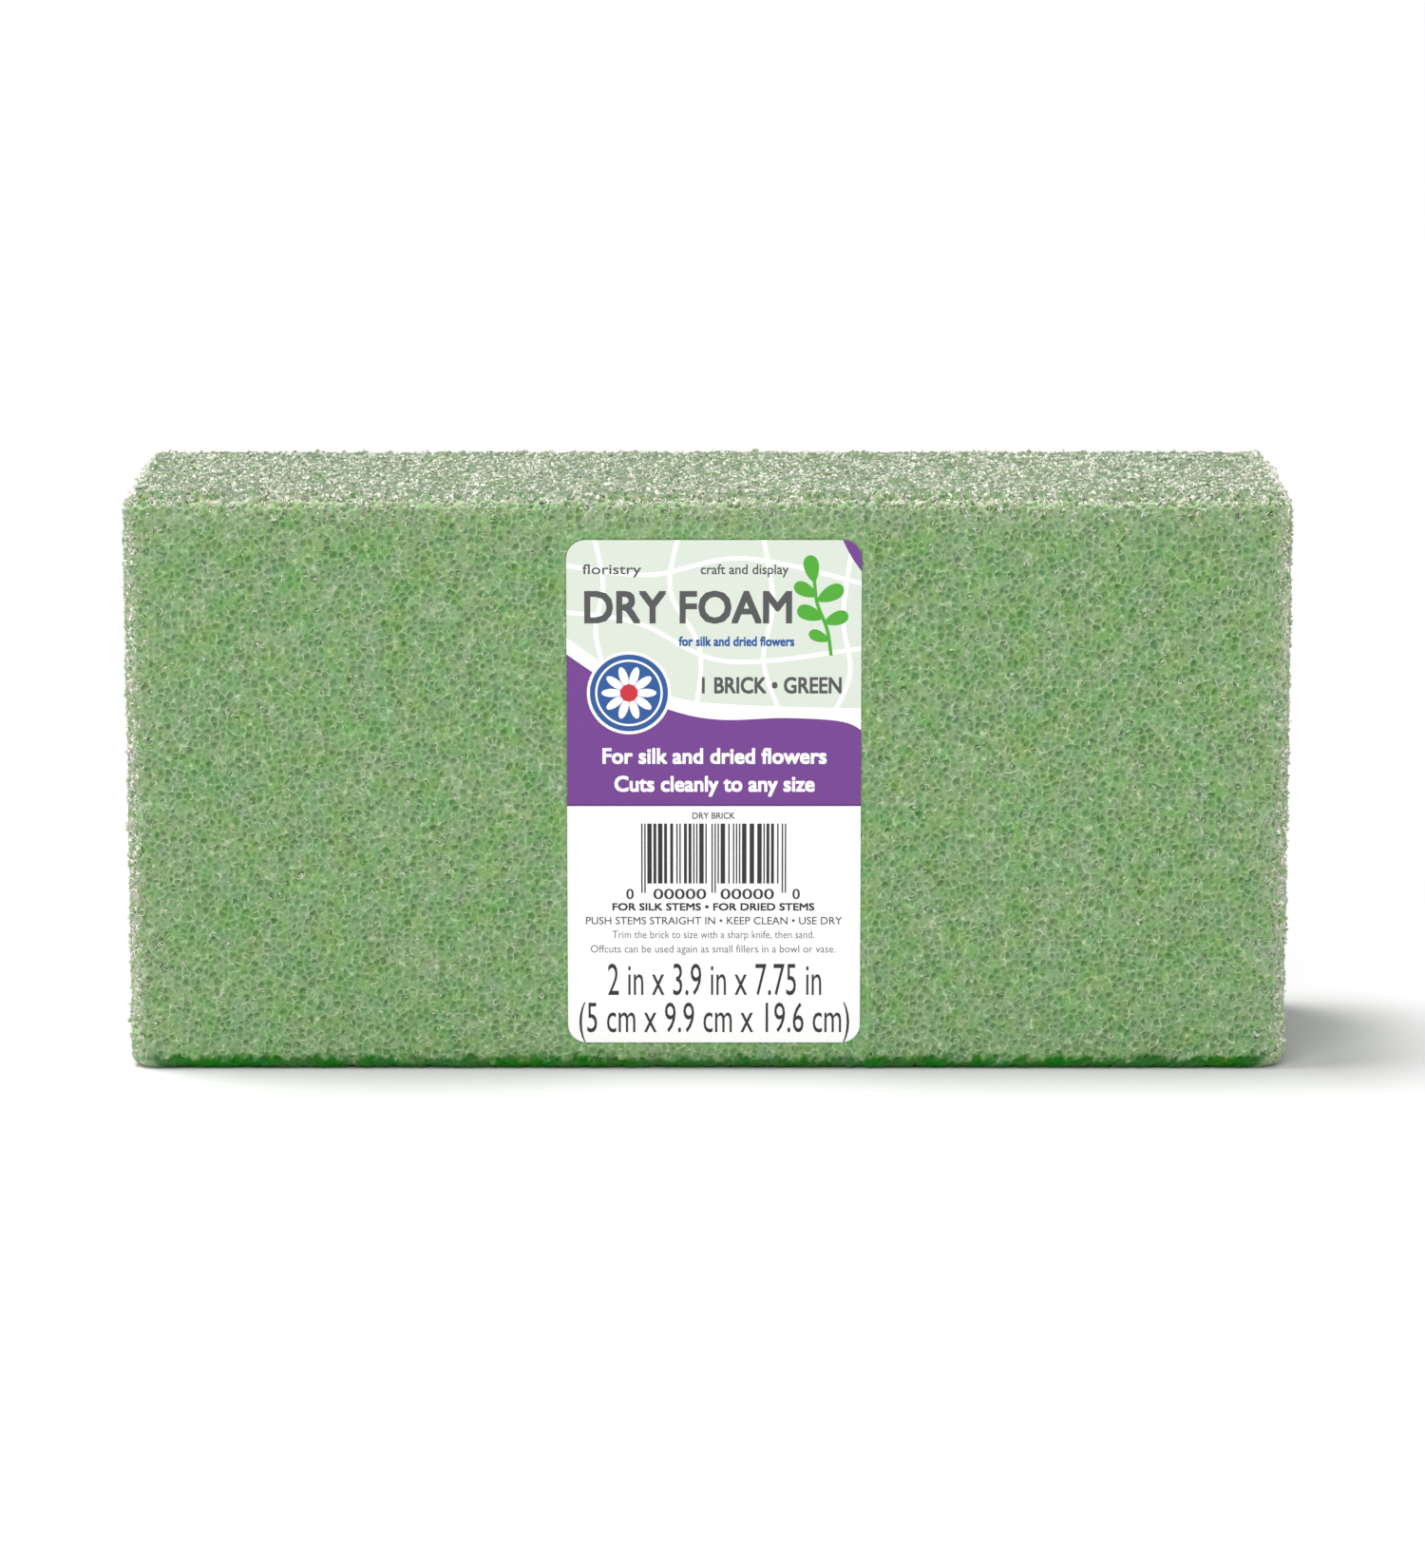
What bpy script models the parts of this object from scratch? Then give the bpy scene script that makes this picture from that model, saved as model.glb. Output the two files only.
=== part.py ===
"""Floral foam brick with a printed self-adhesive label.

The brick stands on one long narrow face: X runs along its length, Y through its
thickness with the label on the -Y face, and Z up its height. The origin is the middle
of the face it stands on. Metres.
"""

import math

import bmesh
import bpy
from mathutils import Matrix, Vector

# The foam block, as it is sawn.
BLOCK_LENGTH = 0.19685
BLOCK_THICKNESS = 0.0508
BLOCK_HEIGHT = 0.09906
BLOCK_EDGE_RADIUS = 0.0020
BLOCK_EDGE_STEPS = 5

# The label, die-cut from one sheet and stuck on the front face.
LABEL_WIDTH = 0.0497
LABEL_HEIGHT = 0.0867
LABEL_CORNER_RADIUS = 0.0032
LABEL_CORNER_STEPS = 8
LABEL_BASE_MARGIN = 0.0047
LABEL_SIDE_SHIFT = 0.00105
LABEL_STOCK_THICKNESS = 0.00012
ADHESIVE_THICKNESS = 0.00006

# The adhesive bridges the foam's cut cells, so it starts clear of the sawn plane.
ADHESIVE_TO_FOAM_GAP = 0.0003
STOCK_TO_ADHESIVE_GAP = 0.00003
# The adhesive is coated a hair short of the die-cut edge.
ADHESIVE_EDGE_INSET = 0.0002

FOAM_GREEN = (0.237, 0.392, 0.179)
ADHESIVE_CLEAR = (0.62, 0.66, 0.58)
STOCK_WHITE = (0.83, 0.90, 0.79)


def clear_scene():
    for thing in list(bpy.data.objects):
        bpy.data.objects.remove(thing, do_unlink=True)


def plain_material(name, colour, roughness):
    material = bpy.data.materials.new(name)
    material.use_nodes = True
    shader = material.node_tree.nodes["Principled BSDF"]
    shader.inputs["Base Color"].default_value = (*colour, 1.0)
    shader.inputs["Roughness"].default_value = roughness
    shader.inputs["Metallic"].default_value = 0.0
    return material


def add_object(name, mesh, material, parent, location):
    thing = bpy.data.objects.new(name, mesh)
    mesh.materials.append(material)
    bpy.context.scene.collection.objects.link(thing)
    thing.parent = parent
    thing.location = location
    return thing


def add_frame(name, location, parent=None):
    frame = bpy.data.objects.new(name, None)
    bpy.context.scene.collection.objects.link(frame)
    frame.parent = parent
    frame.location = location
    return frame


def foam_block(parent):
    """The sawn block, its edges and corners worn to one small radius."""
    body = bmesh.new()
    size = Matrix.Diagonal((BLOCK_LENGTH, BLOCK_THICKNESS, BLOCK_HEIGHT, 1.0))
    bmesh.ops.create_cube(body, size=1.0, matrix=size)
    mesh = bpy.data.meshes.new("foam_block")
    body.to_mesh(mesh)
    body.free()
    material = plain_material("polystyrene_foam", FOAM_GREEN, 0.9)
    block = add_object("foam_block", mesh, material, parent, (0.0, 0.0, BLOCK_HEIGHT / 2))
    worn = block.modifiers.new("worn_edges", "BEVEL")
    worn.width = BLOCK_EDGE_RADIUS
    worn.segments = BLOCK_EDGE_STEPS
    worn.limit_method = "ANGLE"
    mesh.shade_smooth()
    return block


def rounded_sheet(name, width, height, corner_radius, thickness):
    """A flat sheet in the XZ plane, thick along Y, with four round corners."""
    body = bmesh.new()
    corner_x = width / 2 - corner_radius
    corner_z = height / 2 - corner_radius
    outline = []
    for quarter, (side_x, side_z) in enumerate(((1, 1), (-1, 1), (-1, -1), (1, -1))):
        for step in range(LABEL_CORNER_STEPS + 1):
            turn = math.radians(90.0) * (quarter + step / LABEL_CORNER_STEPS)
            x = side_x * corner_x + corner_radius * math.cos(turn)
            z = side_z * corner_z + corner_radius * math.sin(turn)
            outline.append(body.verts.new((x, -thickness / 2, z)))
    front = body.faces.new(outline)
    pulled = bmesh.ops.extrude_face_region(body, geom=[front])
    back = [part for part in pulled["geom"] if isinstance(part, bmesh.types.BMVert)]
    bmesh.ops.translate(body, verts=back, vec=Vector((0.0, thickness, 0.0)))
    bmesh.ops.recalc_face_normals(body, faces=body.faces)
    mesh = bpy.data.meshes.new(name)
    body.to_mesh(mesh)
    body.free()
    return mesh


def label(parent):
    """Adhesive coat and printed face stock, one over the other on the front face."""
    adhesive_y = -(ADHESIVE_TO_FOAM_GAP + ADHESIVE_THICKNESS / 2)
    adhesive_front = adhesive_y - ADHESIVE_THICKNESS / 2
    stock_y = adhesive_front - STOCK_TO_ADHESIVE_GAP - LABEL_STOCK_THICKNESS / 2

    adhesive_mesh = rounded_sheet(
        "label_adhesive",
        LABEL_WIDTH - 2 * ADHESIVE_EDGE_INSET,
        LABEL_HEIGHT - 2 * ADHESIVE_EDGE_INSET,
        LABEL_CORNER_RADIUS - ADHESIVE_EDGE_INSET,
        ADHESIVE_THICKNESS,
    )
    clear_coat = plain_material("acrylic_adhesive", ADHESIVE_CLEAR, 0.35)
    add_object("label_adhesive", adhesive_mesh, clear_coat, parent, (0.0, adhesive_y, 0.0))

    stock_mesh = rounded_sheet(
        "label_face", LABEL_WIDTH, LABEL_HEIGHT, LABEL_CORNER_RADIUS, LABEL_STOCK_THICKNESS
    )
    stock = plain_material("label_stock", STOCK_WHITE, 0.45)
    add_object("label_face", stock_mesh, stock, parent, (0.0, stock_y, 0.0))


def build():
    clear_scene()
    brick = add_frame("brick_frame", (0.0, 0.0, 0.0))
    foam_block(brick)
    label_middle = (LABEL_SIDE_SHIFT, -BLOCK_THICKNESS / 2, LABEL_BASE_MARGIN + LABEL_HEIGHT / 2)
    label(add_frame("label_frame", label_middle, brick))


build()
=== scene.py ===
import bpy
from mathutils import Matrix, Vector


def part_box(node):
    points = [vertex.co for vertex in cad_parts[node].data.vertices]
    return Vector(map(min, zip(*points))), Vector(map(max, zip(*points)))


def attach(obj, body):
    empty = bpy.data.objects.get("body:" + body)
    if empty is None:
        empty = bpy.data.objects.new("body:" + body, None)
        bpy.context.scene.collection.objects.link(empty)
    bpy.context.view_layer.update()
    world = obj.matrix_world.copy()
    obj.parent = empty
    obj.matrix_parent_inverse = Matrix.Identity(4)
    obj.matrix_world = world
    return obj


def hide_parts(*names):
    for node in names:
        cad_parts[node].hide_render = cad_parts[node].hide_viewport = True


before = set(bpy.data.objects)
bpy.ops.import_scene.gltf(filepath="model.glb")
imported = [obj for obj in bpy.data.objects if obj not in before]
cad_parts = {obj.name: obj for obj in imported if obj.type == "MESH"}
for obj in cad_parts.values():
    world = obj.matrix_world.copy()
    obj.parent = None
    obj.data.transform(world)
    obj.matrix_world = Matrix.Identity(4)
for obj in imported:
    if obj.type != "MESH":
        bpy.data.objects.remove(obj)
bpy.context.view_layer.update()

import math
import random
from collections import Counter

import bmesh
import bpy
import numpy as np
from mathutils import Vector
from mathutils.geometry import delaunay_2d_cdt


# ---------------------------------------------------------------------------
# The studio: one seamless white floor under an even white dome, with a wide
# softbox overhead, a little to the left. It lifts the top face and drops a
# soft shadow to the right of the brick.
def linear(hex_colour):
    """An sRGB hex colour as linear red, green, blue and alpha."""
    parts = [int(hex_colour[start : start + 2], 16) / 255 for start in (1, 3, 5)]
    return [p / 12.92 if p <= 0.04045 else ((p + 0.055) / 1.055) ** 2.4 for p in parts] + [1.0]


def add(tree, kind, inputs=(), **settings):
    """Adds one node, sets its properties, and feeds its inputs with values or links."""
    made = tree.nodes.new(kind)
    for name, value in settings.items():
        setattr(made, name, value)
    for socket, value in inputs:
        if isinstance(value, bpy.types.NodeSocket):
            tree.links.new(value, made.inputs[socket])
        else:
            made.inputs[socket].default_value = value
    return made


def new_material(name):
    """A material with an empty tree, ready for its own shader."""
    made = bpy.data.materials.new(name)
    made.use_nodes = True
    made.node_tree.nodes.clear()
    return made


foam_low, foam_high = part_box("foam_block")
foam_size = foam_high - foam_low
foam_middle = (foam_low + foam_high) / 2
label_low, label_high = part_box("label_face")
label_size = label_high - label_low
label_middle = (label_low + label_high) / 2

DOME_LIGHT = 0.5
scene = bpy.context.scene
scene.view_settings.view_transform = "Standard"
scene.world = bpy.data.worlds.new("studio_dome")
scene.world.use_nodes = True
dome = scene.world.node_tree
dome.nodes.clear()
# The dome shows white behind the brick, and lights it more softly than that.
ray = add(dome, "ShaderNodeLightPath")
glow = add(
    dome,
    "ShaderNodeMapRange",
    [("Value", ray.outputs["Is Camera Ray"]), ("To Min", DOME_LIGHT), ("To Max", 1.0)],
)
dome_white = add(
    dome,
    "ShaderNodeBackground",
    [("Color", linear("#ffffff")), ("Strength", glow.outputs[0])],
)
add(dome, "ShaderNodeOutputWorld", [("Surface", dome_white.outputs[0])])

FLOOR_SIDE = 12.0
bpy.ops.object.select_all(action="DESELECT")
bpy.ops.mesh.primitive_plane_add(size=FLOOR_SIDE, location=(0, 0, foam_low.z - 0.0001))
floor = bpy.context.object
floor.name = "floor"
bpy.ops.object.transform_apply(location=True, rotation=True, scale=True)
white_floor = new_material("matte_white_paint")
floor_shader = add(
    white_floor.node_tree,
    "ShaderNodeBsdfPrincipled",
    [("Base Color", linear("#dcdcdc")), ("Roughness", 0.9), ("Specular IOR Level", 0.2)],
)
add(white_floor.node_tree, "ShaderNodeOutputMaterial", [("Surface", floor_shader.outputs[0])])
floor.data.materials.append(white_floor)


def aim(lamp, name, place, target):
    """Puts a lamp at its place, facing its target."""
    holder = bpy.data.objects.new(name, lamp)
    scene.collection.objects.link(holder)
    holder.location = place
    holder.rotation_euler = (target - place).to_track_quat("-Z", "Y").to_euler()


overhead = bpy.data.lights.new("overhead_lamp", "SUN")
overhead.energy = 2.85
overhead.angle = math.radians(22)
aim(overhead, "overhead_lamp", Vector((-0.36, 0.1, 1.3)), foam_middle)
front_fill = bpy.data.lights.new("front_fill", "AREA")
front_fill.shape = "RECTANGLE"
front_fill.size = 1.6
front_fill.size_y = 1.0
front_fill.energy = 22.5
aim(front_fill, "front_fill", Vector((-0.6, -1.9, 1.2)), foam_middle)
# Low on the right, so that it brightens the end's edge and hardly touches the floor.
side_card = bpy.data.lights.new("side_card", "AREA")
side_card.size = 0.6
side_card.energy = 2.8
aim(side_card, "side_card", Vector((1.4, -0.35, 0.28)), foam_middle)

# The camera looks slightly down at the label's face from a bit over a metre away.
CAMERA_DISTANCE = 1.138
CAMERA_LENS = 154.4
CAMERA_ELEVATION = math.radians(11.4)
CAMERA_AIM_RIGHT = 0.0008
camera_aim = Vector((CAMERA_AIM_RIGHT, foam_low.y, foam_middle.z))
camera_back = Vector((0, -math.cos(CAMERA_ELEVATION), math.sin(CAMERA_ELEVATION)))
camera_data = bpy.data.cameras.new("camera")
camera_data.lens = CAMERA_LENS
camera = bpy.data.objects.new("camera", camera_data)
scene.collection.objects.link(camera)
camera.location = camera_aim + camera_back * CAMERA_DISTANCE
camera.rotation_euler = (-camera_back).to_track_quat("-Z", "Y").to_euler()
scene.camera = camera


# ---------------------------------------------------------------------------
# The foam block: coarse-celled polystyrene foam, dyed green right through and
# cut to size with a saw, so that every face is a slice through gas cells 1 to
# 2 mm across. The cells' walls stand up as thin pale rims round darker pockets.
EDGE_RADIUS = 0.003
EDGE_STEPS = 18
FOOT_RADIUS = 0.0009
FOOT_STEPS = 5
# Each long edge is cut into the first number of lengths, and each of those into the second.
FACE_STEPS = {"x": (8, 64), "y": (2, 61), "z": (4, 63)}
NEARLY_PARALLEL = 0.999
SAME_HEIGHT = 1e-6
CELL_PITCH = 0.00118
CELL_WARP = 0.0006
POCKET_DEPTH = 0.0009
# Behind the label the relief keeps this share of its depth and rises this far to meet it.
PRESSED_RELIEF = 0.3
LABEL_LIFT = 0.00025
# The strip along the foot that is painted darker and greener as shade, and the share of the relief
# that is left under it.
FOOT_HEIGHT = 0.0022
FOOT_RELIEF = 0.35
# The lower corners are rounded off this far up, and the foot is notched this deep.
FOOT_CORNER = 0.0022
NOTCH_DEPTH = 0.0006
PRESS_FADE = 0.001
# Faces are scuffed paler this close to the top and the ends, partly a painted highlight where the
# edges catch the light, and fade by this power.
WEAR_AND_HIGHLIGHT_MARGIN = 0.009
WEAR_AND_HIGHLIGHT_FALLOFF = 1.6
# Torn wall scraps to the square metre: the top and the ends are sawn more roughly.
SCRAPS_ON_BROAD_FACES = 190_000
SCRAPS_ON_NARROW_FACES = 800_000
PLACE = "block_place"
FACING = "block_facing"
TORN = "torn_wall"


def cut_along(mesh, axis, counts):
    """Cuts every long edge that runs along an axis into equal lengths."""
    for count in counts:
        bpy.ops.mesh.select_all(action="DESELECT")
        body = bmesh.from_edit_mesh(mesh)
        for edge in body.edges:
            run = edge.verts[1].co - edge.verts[0].co
            if abs(run[axis]) > NEARLY_PARALLEL * run.length and run.length > EDGE_RADIUS:
                edge.select = True
        body.select_flush_mode()
        bmesh.update_edit_mesh(mesh)
        bpy.ops.mesh.subdivide(number_cuts=count - 1, smoothness=0.0)


def put_in_order(mesh):
    """Gives a mesh's corners and faces one fixed order, which a bevel leaves to chance."""
    sorted_corners = sorted(mesh.vertices, key=lambda corner: tuple(corner.co))
    number = {corner.index: place for place, corner in enumerate(sorted_corners)}
    places = [tuple(corner.co) for corner in sorted_corners]
    faces = []
    for face in mesh.polygons:
        loop = [number[corner] for corner in face.vertices]
        start = loop.index(min(loop))
        faces.append(loop[start:] + loop[:start])
    mesh.clear_geometry()
    mesh.from_pydata(places, [], sorted(faces))


bpy.ops.object.select_all(action="DESELECT")
bpy.ops.mesh.primitive_cube_add(size=1, location=foam_middle, scale=foam_size)
foam = bpy.context.object
foam.name = "foam_brick"
bpy.ops.object.transform_apply(location=True, rotation=True, scale=True)
bpy.ops.object.mode_set(mode="EDIT")
bpy.ops.mesh.select_mode(type="EDGE")
# The upper edges and the corners are worn round; the edges that it stands on less so.
for radius, segments, standing in (
    (EDGE_RADIUS, EDGE_STEPS, False),
    (FOOT_RADIUS, FOOT_STEPS, True),
):
    body = bmesh.from_edit_mesh(foam.data)
    for edge in body.edges:
        stands = all(abs(corner.co.z - foam_low.z) < SAME_HEIGHT for corner in edge.verts)
        edge.select = stands == standing and (standing or edge.calc_length() > EDGE_RADIUS)
    body.select_flush_mode()
    bmesh.update_edit_mesh(foam.data)
    bpy.ops.mesh.bevel(offset=radius, segments=segments, profile=0.5, affect="EDGES")
bpy.ops.object.mode_set(mode="OBJECT")
put_in_order(foam.data)
bpy.ops.object.mode_set(mode="EDIT")
for axis, letter in enumerate("xyz"):
    cut_along(foam.data, axis, FACE_STEPS[letter])
bpy.ops.object.mode_set(mode="OBJECT")


def unfold(mesh):
    """Lays the six sides of the block out flat, side by side, on one map."""
    corner_of = np.empty(len(mesh.loops), np.int32)
    mesh.loops.foreach_get("vertex_index", corner_of)
    places = np.empty(len(mesh.vertices) * 3, np.float32)
    mesh.vertices.foreach_get("co", places)
    places = places.reshape(-1, 3)[corner_of]
    normals = np.empty(len(mesh.polygons) * 3, np.float32)
    mesh.polygons.foreach_get("normal", normals)
    sizes = np.empty(len(mesh.polygons), np.int32)
    mesh.polygons.foreach_get("loop_total", sizes)
    normals = np.repeat(normals.reshape(-1, 3), sizes, axis=0)
    low, size = np.array(foam_low), np.array(foam_size)
    gap = EDGE_RADIUS
    length, thickness, height = size
    wide = length + gap + thickness
    tall = 2 * (height + gap + thickness + gap)
    # Each side: its axis and direction, the axes across and up it, and its corner on the map.
    sides = (
        (1, -1, (0, 1), (2, 1), (0, 0)),
        (1, 1, (0, -1), (2, 1), (0, height + gap)),
        (0, 1, (1, 1), (2, 1), (length + gap, 0)),
        (0, -1, (1, -1), (2, 1), (length + gap, height + gap)),
        (2, 1, (0, 1), (1, 1), (0, 2 * (height + gap))),
        (2, -1, (0, 1), (1, -1), (0, 2 * (height + gap) + thickness + gap)),
    )
    facing = np.argmax(np.abs(normals), axis=1)
    flat = np.zeros((len(places), 2), np.float32)
    for axis, direction, across, up, corner in sides:
        mine = (facing == axis) & (np.sign(normals[np.arange(len(facing)), axis]) == direction)
        for column, ((side_axis, turn), start, whole) in enumerate(
            ((across, corner[0], wide), (up, corner[1], tall))
        ):
            along = (places[mine, side_axis] - low[side_axis]) * turn
            along += size[side_axis] if turn < 0 else 0
            flat[mine, column] = (start + along) / whole
    sheet = mesh.uv_layers.new(name="OFBake")
    sheet.uv.foreach_set("vector", flat.ravel())


unfold(foam.data)


def sliced_cells(tree, place, facing):
    """A cut face among the foam's cells: its pocket depth, 0 to 1, and the two cell patterns."""
    sway = add(
        tree,
        "ShaderNodeTexNoise",
        [("Vector", place), ("Scale", 620), ("Detail", 2), ("Roughness", 0.8)],
    )
    centred = add(
        tree,
        "ShaderNodeVectorMath",
        [(0, sway.outputs["Color"]), (1, (0.5, 0.5, 0.5))],
        operation="SUBTRACT",
    )
    moved = add(
        tree,
        "ShaderNodeVectorMath",
        [(0, centred.outputs[0]), (1, (CELL_WARP,) * 3), (2, place)],
        operation="MULTIPLY_ADD",
    )
    cells, walls = (
        add(
            tree,
            "ShaderNodeTexVoronoi",
            [("Vector", moved.outputs[0]), ("Scale", 1 / CELL_PITCH), ("Randomness", 1.0)],
            feature=feature,
        )
        for feature in ("F1", "DISTANCE_TO_EDGE")
    )
    to_centre = add(
        tree,
        "ShaderNodeVectorMath",
        [(0, cells.outputs["Position"]), (1, moved.outputs[0])],
        operation="SUBTRACT",
    )
    above = add(
        tree,
        "ShaderNodeVectorMath",
        [(0, to_centre.outputs[0]), (1, facing)],
        operation="DOT_PRODUCT",
    )
    hollow = add(
        tree,
        "ShaderNodeMapRange",
        [
            ("Value", above.outputs["Value"]),
            ("From Min", 0.5 * CELL_PITCH),
            ("From Max", -0.3 * CELL_PITCH),
            ("To Min", 0.3),
            ("To Max", 1.0),
        ],
    )
    bowl = add(
        tree,
        "ShaderNodeMapRange",
        [("Value", walls.outputs["Distance"]), ("From Min", 0.0), ("From Max", 0.4)],
        interpolation_type="SMOOTHSTEP",
    )
    depth = add(
        tree,
        "ShaderNodeMath",
        [(0, hollow.outputs[0]), (1, bowl.outputs[0])],
        operation="MULTIPLY",
    )
    return depth.outputs[0], cells, walls


def wear_and_highlight_share(tree, place, facing):
    """How far a spot is worn and painted paler as a highlight: wholly on a narrow face, and on a
    broad one near the top and ends.
    """
    from_middle = add(
        tree,
        "ShaderNodeVectorMath",
        [(0, place), (1, (foam_middle.x, foam_middle.y, foam_low.z))],
        operation="SUBTRACT",
    )
    spread = add(
        tree, "ShaderNodeVectorMath", [(0, from_middle.outputs[0])], operation="ABSOLUTE"
    )
    parts = add(tree, "ShaderNodeSeparateXYZ", [(0, spread.outputs[0])])
    shares = [
        add(
            tree,
            "ShaderNodeMapRange",
            [
                ("Value", parts.outputs[part]),
                ("From Min", reach - WEAR_AND_HIGHLIGHT_MARGIN),
                ("From Max", reach),
            ],
        ).outputs[0]
        for part, reach in ((0, foam_size.x / 2), (2, foam_size.z))
    ]
    nearer = add(tree, "ShaderNodeMath", [(0, shares[0]), (1, shares[1])], operation="MAXIMUM")
    scuffed_and_lit = add(
        tree, "ShaderNodeMath", [(0, nearer.outputs[0]), (1, WEAR_AND_HIGHLIGHT_FALLOFF)], operation="POWER"
    )
    facing_parts = add(tree, "ShaderNodeSeparateXYZ", [(0, facing)])
    across = add(
        tree, "ShaderNodeMath", [(0, facing_parts.outputs[1])], operation="ABSOLUTE"
    )
    narrow = add(
        tree,
        "ShaderNodeMapRange",
        [("Value", across.outputs[0]), ("From Min", 0.995), ("From Max", 0.8)],
    )
    return add(
        tree,
        "ShaderNodeMath",
        [(0, scuffed_and_lit.outputs[0]), (1, narrow.outputs[0])],
        operation="MAXIMUM",
    ).outputs[0]


def bend_share(tree, facing):
    """How far a spot lies round an edge or a corner: 0 on a face, 0.29 half way round an edge."""
    turned = add(tree, "ShaderNodeVectorMath", [(0, facing)], operation="ABSOLUTE")
    parts = add(tree, "ShaderNodeSeparateXYZ", [(0, turned.outputs[0])])
    squareness = parts.outputs[0]
    for part in (1, 2):
        squareness = add(
            tree,
            "ShaderNodeMath",
            [(0, squareness), (1, parts.outputs[part])],
            operation="MAXIMUM",
        ).outputs[0]
    return add(
        tree, "ShaderNodeMath", [(0, 1.0), (1, squareness)], operation="SUBTRACT"
    ).outputs[0]


relief = bpy.data.node_groups.new("saw_cut_relief", "GeometryNodeTree")
relief.interface.new_socket("Geometry", in_out="INPUT", socket_type="NodeSocketGeometry")
relief.interface.new_socket("Geometry", in_out="OUTPUT", socket_type="NodeSocketGeometry")
block_in = add(relief, "NodeGroupInput")
where = add(relief, "GeometryNodeInputPosition").outputs[0]
outwards = add(relief, "GeometryNodeInputNormal").outputs[0]
kept_place = add(
    relief,
    "GeometryNodeStoreNamedAttribute",
    [("Geometry", block_in.outputs[0]), ("Name", PLACE), ("Value", where)],
    data_type="FLOAT_VECTOR",
    domain="POINT",
)
kept_facing = add(
    relief,
    "GeometryNodeStoreNamedAttribute",
    [("Geometry", kept_place.outputs[0]), ("Name", FACING), ("Value", outwards)],
    data_type="FLOAT_VECTOR",
    domain="POINT",
)
pocket, _, _ = sliced_cells(relief, where, outwards)
sinking = add(
    relief, "ShaderNodeMath", [(0, pocket), (1, -POCKET_DEPTH)], operation="MULTIPLY"
).outputs[0]
# Broken wall tips: fine, middling and coarse unevenness on both sides of the cut.
for scale, reach in ((1500, 0.0006), (700, 0.0009), (280, 0.0007)):
    broken = add(
        relief, "ShaderNodeTexNoise", [("Vector", where), ("Scale", scale), ("Detail", 2)]
    )
    swing = add(
        relief,
        "ShaderNodeMapRange",
        [("Value", broken.outputs[0]), ("To Min", reach / 2), ("To Max", -reach / 2)],
    )
    sinking = add(
        relief,
        "ShaderNodeMath",
        [(0, swing.outputs[0]), (1, sinking)],
        operation="ADD",
    ).outputs[0]
# Edges and corners crumble more than faces.
chips = add(relief, "ShaderNodeTexNoise", [("Vector", where), ("Scale", 420), ("Detail", 2)])
chipping = add(
    relief,
    "ShaderNodeMapRange",
    [
        ("Value", chips.outputs[0]),
        ("From Min", 0.3),
        ("From Max", 0.7),
        ("To Min", -0.0002),
        ("To Max", -0.0030),
    ],
)
sinking = add(
    relief,
    "ShaderNodeMath",
    [(0, bend_share(relief, outwards)), (1, chipping.outputs[0]), (2, sinking)],
    operation="MULTIPLY_ADD",
).outputs[0]
# Behind the label the foam is pressed flat, and its wall tips reach the adhesive.
from_label = add(
    relief,
    "ShaderNodeVectorMath",
    [(0, where), (1, (label_middle.x, foam_low.y, label_middle.z))],
    operation="SUBTRACT",
)
from_label = add(
    relief, "ShaderNodeVectorMath", [(0, from_label.outputs[0])], operation="ABSOLUTE"
)
off_centre = add(relief, "ShaderNodeSeparateXYZ", [(0, from_label.outputs[0])])
pressed = 1.0
for part, reach in ((0, label_size.x / 2), (1, 0.0), (2, label_size.z / 2)):
    inside = add(
        relief,
        "ShaderNodeMapRange",
        [
            ("Value", off_centre.outputs[part]),
            ("From Min", reach + 2.5 * PRESS_FADE),
            ("From Max", reach + 0.5 * PRESS_FADE),
        ],
    )
    pressed = add(
        relief,
        "ShaderNodeMath",
        [(0, inside.outputs[0]), (1, pressed)],
        operation="MULTIPLY",
    ).outputs[0]
flattened = add(
    relief,
    "ShaderNodeMath",
    [(0, sinking), (1, PRESSED_RELIEF), (2, LABEL_LIFT / 2)],
    operation="MULTIPLY_ADD",
)
under_label = add(
    relief, "ShaderNodeMath", [(0, flattened.outputs[0]), (1, LABEL_LIFT)], operation="MINIMUM"
)
settled = add(
    relief,
    "ShaderNodeMix",
    [(0, pressed), (2, sinking), (3, under_label.outputs[0])],
)
# The foot is pressed flatter by what it stands on.
height = add(relief, "ShaderNodeSeparateXYZ", [(0, where)]).outputs[2]
looseness = add(
    relief,
    "ShaderNodeMapRange",
    [
        ("Value", height),
        ("From Min", foam_low.z),
        ("From Max", foam_low.z + FOOT_HEIGHT),
        ("To Min", FOOT_RELIEF),
    ],
)
sunk = add(
    relief,
    "ShaderNodeMath",
    [(0, settled.outputs[0]), (1, looseness.outputs[0])],
    operation="MULTIPLY",
)
shift = add(
    relief,
    "ShaderNodeVectorMath",
    [(0, outwards), ("Scale", sunk.outputs[0])],
    operation="SCALE",
)
carved_place = add(
    relief,
    "ShaderNodeVectorMath",
    [(0, where), (1, shift.outputs[0])],
    operation="ADD",
)
# Nothing reaches below the face that the block stands on, and that face is notched.
notches = add(relief, "ShaderNodeTexNoise", [("Vector", where), ("Scale", 650), ("Detail", 2)])
notch = add(
    relief,
    "ShaderNodeMapRange",
    [
        ("Value", notches.outputs[0]),
        ("From Min", 0.46),
        ("From Max", 0.66),
        ("To Min", foam_low.z),
        ("To Max", foam_low.z + NOTCH_DEPTH),
    ],
)
lowest = add(relief, "ShaderNodeCombineXYZ", [(0, -1.0), (1, -1.0), (2, notch.outputs[0])])
standing = add(
    relief,
    "ShaderNodeVectorMath",
    [(0, carved_place.outputs[0]), (1, lowest.outputs[0])],
    operation="MAXIMUM",
)
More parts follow.
